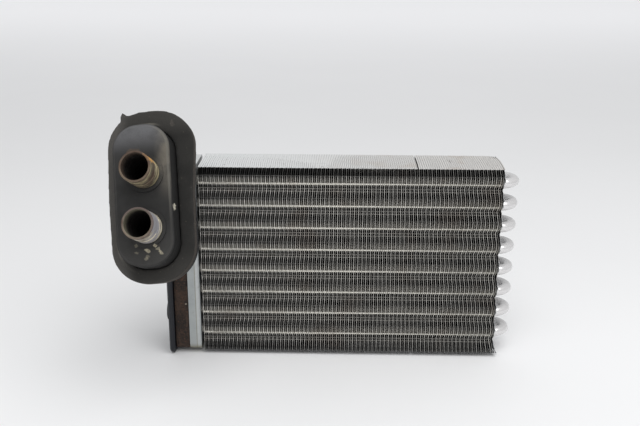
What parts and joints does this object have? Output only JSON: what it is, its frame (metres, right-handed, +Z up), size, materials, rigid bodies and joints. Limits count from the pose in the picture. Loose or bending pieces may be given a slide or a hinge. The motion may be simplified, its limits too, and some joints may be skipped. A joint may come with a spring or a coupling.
{
  "type": "heater core",
  "caption": "Car heater core: a finned block of hairpin tubes with a moulded end tank, a foam-sealed oval flange and slanted pipe stubs.",
  "frame": {"origin": "bottom centre of the whole part's box, on the surface it stands on", "axes": "+X along the block towards the tube bends, +Y back through the block's depth, +Z up"},
  "size_m": [0.3136, 0.1552, 0.2099],
  "materials": {
    "fin_aluminium": "satin",
    "tube_aluminium": "satin",
    "header_aluminium": "matt",
    "tank_plastic": "moulded matt",
    "gasket_rubber": "matt",
    "stained_foam": "open sponge, stained brown",
    "gasket_foam": "fine closed foam",
    "grommet_rubber": "dusty matt",
    "stained_pipe": "stained and crusted"
  },
  "bodies": {
    "root": {"end_tank": "tank_plastic", "fins": "fin_aluminium", "flange_gasket": "gasket_foam", "hairpin_tube_1": "tube_aluminium", "hairpin_tube_2": "tube_aluminium", "hairpin_tube_3": "tube_aluminium", "hairpin_tube_4": "tube_aluminium", "hairpin_tube_5": "tube_aluminium", "hairpin_tube_6": "tube_aluminium", "hairpin_tube_7": "tube_aluminium", "hairpin_tube_8": "tube_aluminium", "header_gasket": "gasket_rubber", "header_plate": "header_aluminium", "lower_pipe": "stained_pipe", "lower_sealing_ring": "gasket_rubber", "outer_end_fin": "fin_aluminium", "pipe_grommet": "grommet_rubber", "tank_foam_band": "stained_foam", "upper_pipe": "stained_pipe", "upper_sealing_ring": "gasket_rubber"}
  },
  "joints": []
}
